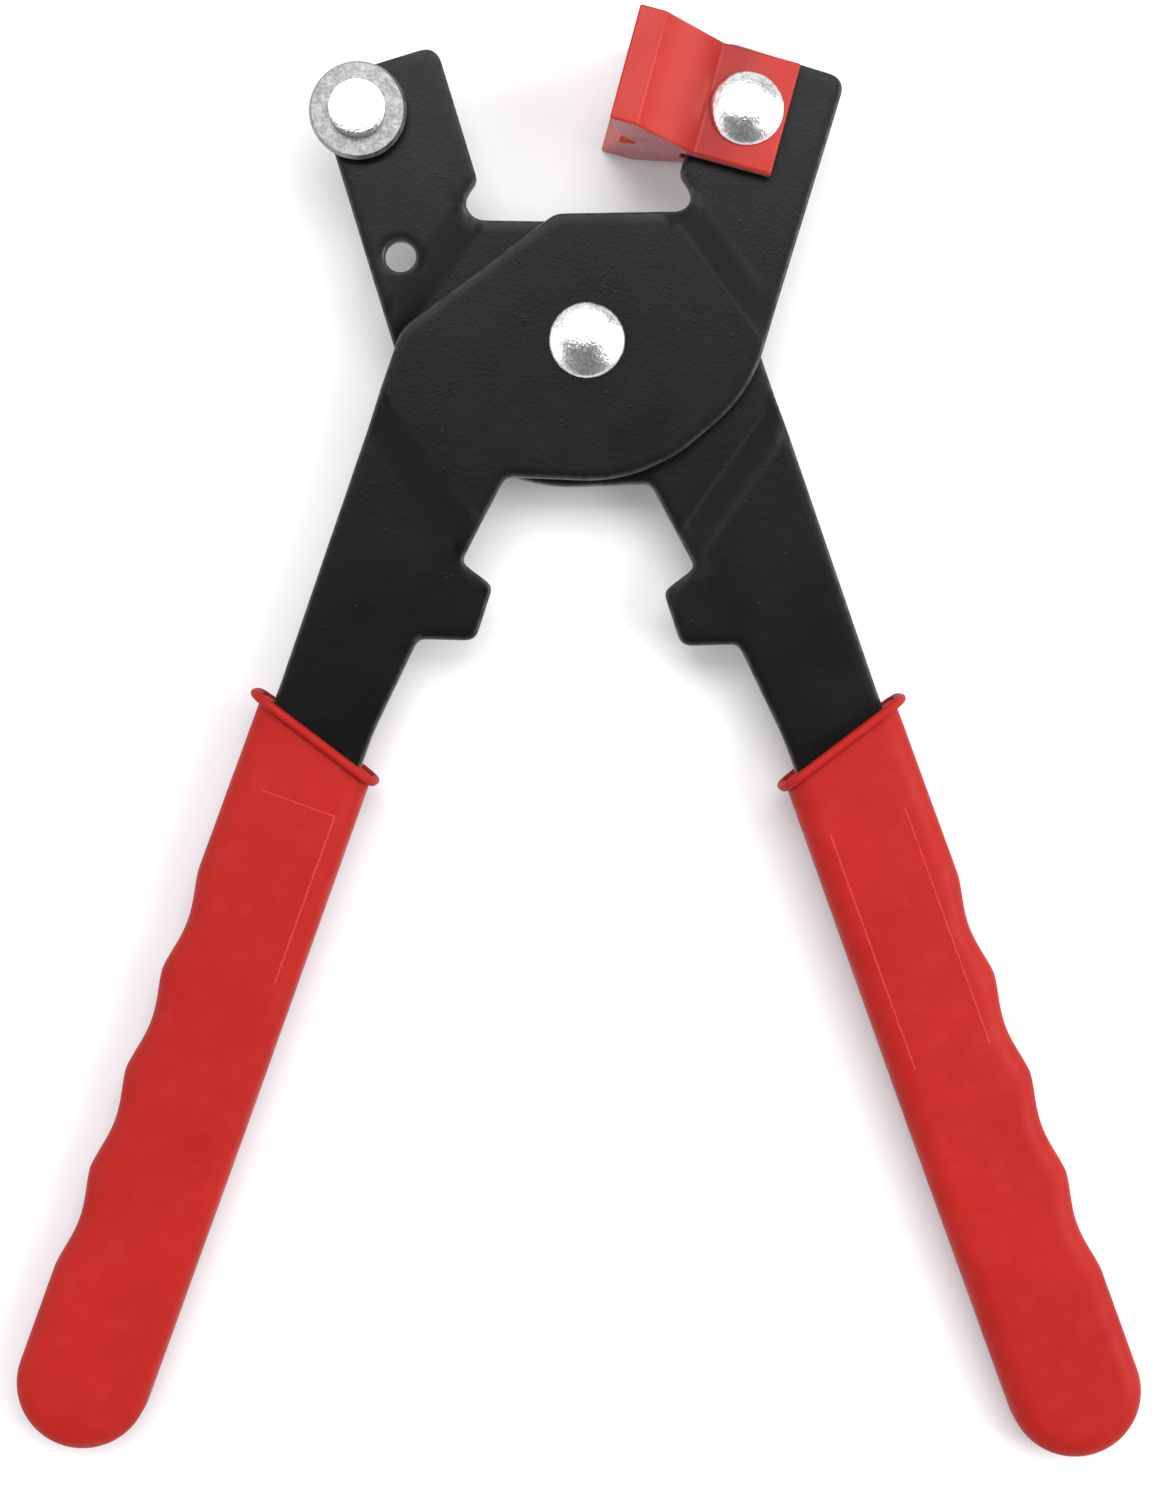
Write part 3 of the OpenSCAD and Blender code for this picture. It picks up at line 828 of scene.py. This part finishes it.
def add_card(name, corners, shade):
    """A grey card over the table that only reflections see."""
    mesh = bpy.data.meshes.new(name)
    verts = [tuple(PIVOT + Vector((x, y, CARD_HIGH))) for x, y in corners]
    mesh.from_pydata(verts, [], [tuple(range(len(corners)))])
    card = bpy.data.objects.new(name, mesh)
    bpy.context.scene.collection.objects.link(card)
    material = bpy.data.materials.new(name)
    material.use_nodes = True
    nodes = material.node_tree.nodes
    nodes.clear()
    glow, out = nodes.new("ShaderNodeEmission"), nodes.new("ShaderNodeOutputMaterial")
    glow.inputs["Color"].default_value = (shade, shade, shade, 1)
    material.node_tree.links.new(glow.outputs[0], out.inputs["Surface"])
    mesh.materials.append(material)
    card.visible_camera = card.visible_diffuse = card.visible_shadow = card.visible_transmission = False


def add_light(name, at, aim, size, watts):
    data = bpy.data.lights.new(name, "AREA")
    data.shape, data.size, data.size_y = "RECTANGLE", size[0], size[1]
    data.energy = watts
    light = bpy.data.objects.new(name, data)
    bpy.context.scene.collection.objects.link(light)
    light.location = PIVOT + Vector(at)
    light.rotation_euler = (Vector(aim) - Vector(at)).to_track_quat("-Z", "Y").to_euler()


def add_world(strength):
    world = bpy.data.worlds.new("studio")
    world.use_nodes = True
    back = world.node_tree.nodes["Background"]
    back.inputs["Color"].default_value = (0.985, 0.975, 1.0, 1)
    back.inputs["Strength"].default_value = strength
    bpy.context.scene.world = world


def add_camera():
    data = bpy.data.cameras.new("camera")
    data.sensor_fit = "HORIZONTAL"
    data.sensor_width = SENSOR_MM
    data.lens = LENS_MM
    data.clip_start, data.clip_end = 0.01, 10
    camera = bpy.data.objects.new("camera", data)
    bpy.context.scene.collection.objects.link(camera)
    turn = Matrix.Rotation(-LEAN, 3, "X")
    camera.location = PIVOT + turn @ CAM_OFFSET
    camera.rotation_euler = (-LEAN, 0, 0)
    bpy.context.scene.camera = camera


coat, block_red = powder_coat(), block_plastic()
# the frame lines' vinyl is a paler copy of the sleeve's, a painted highlight
sleeve_red, line_highlight_red = vinyl("red_vinyl", 0.0), vinyl("red_vinyl_line_highlight", 0.48)
bright, wheel_metal, plain_zinc = bright_plate(), tumbled_steel(), zinc()
lever("front_lever", False, coat)
lever("rear_lever", True, coat)
grip("left_grip", 109.0, LEFT_LABEL, False, sleeve_red, line_highlight_red)
grip("right_grip", 109.5, RIGHT_LABEL, True, sleeve_red, line_highlight_red)
breaker(block_red)
wheel(wheel_metal)
PIN = on_breaker(*BREAKER_PIN)
rivet("pivot_rivet", (0, 0), 5.7, 3.0, 4.7, 2.75, -3.6, 1.3, bright)
rivet("breaker_rivet", PIN, 5.5, 2.5, 4.0, 4.05, -4.85, 1.3, bright)
rivet("wheel_rivet", WHEEL_PIN, 4.2, 2.0, 3.3, 4.2, -2.05, 0.13, bright)
washer("pivot_thrust_washer", (0, 0), 10.0, 3.05, -0.2, 0.4, plain_zinc)
washer("pivot_back_washer", (0, 0), 6.25, 3.05, -3.6, 0.8, plain_zinc)
washer("breaker_back_washer", PIN, 5.5, 2.55, -4.85, 0.8, plain_zinc)
washer("wheel_spacer", WHEEL_PIN, 4.0, 2.05, 1.25, 0.8, plain_zinc)
washer("wheel_back_washer", WHEEL_PIN, 4.5, 2.05, -2.05, 0.8, plain_zinc)

add_floor(table_white())
add_card("grey_card_low",
         [(-0.56, 0.08), (0.14, 0.16), (0.52, -0.33), (0.32, -1.2), (-0.40, -1.2), (-0.42, -0.18)], 0.25)
add_card("grey_card_high", [(0.20, 0.60), (0.42, 0.84), (0.66, 0.50), (0.32, 0.30)], 0.22)
add_light("left_box", (-0.9, 0.0, 0.75), (0, -0.05, 0), (0.7, 1.0), 3)
add_light("right_box", (0.9, 0.0, 0.75), (0, -0.05, 0), (0.7, 1.0), 12)
add_light("top_box", (0.0, 0.45, 1.0), (0, 0, 0), (0.8, 0.5), 7.4)
add_world(0.9)
add_camera()
bpy.context.scene.view_settings.view_transform = "Standard"
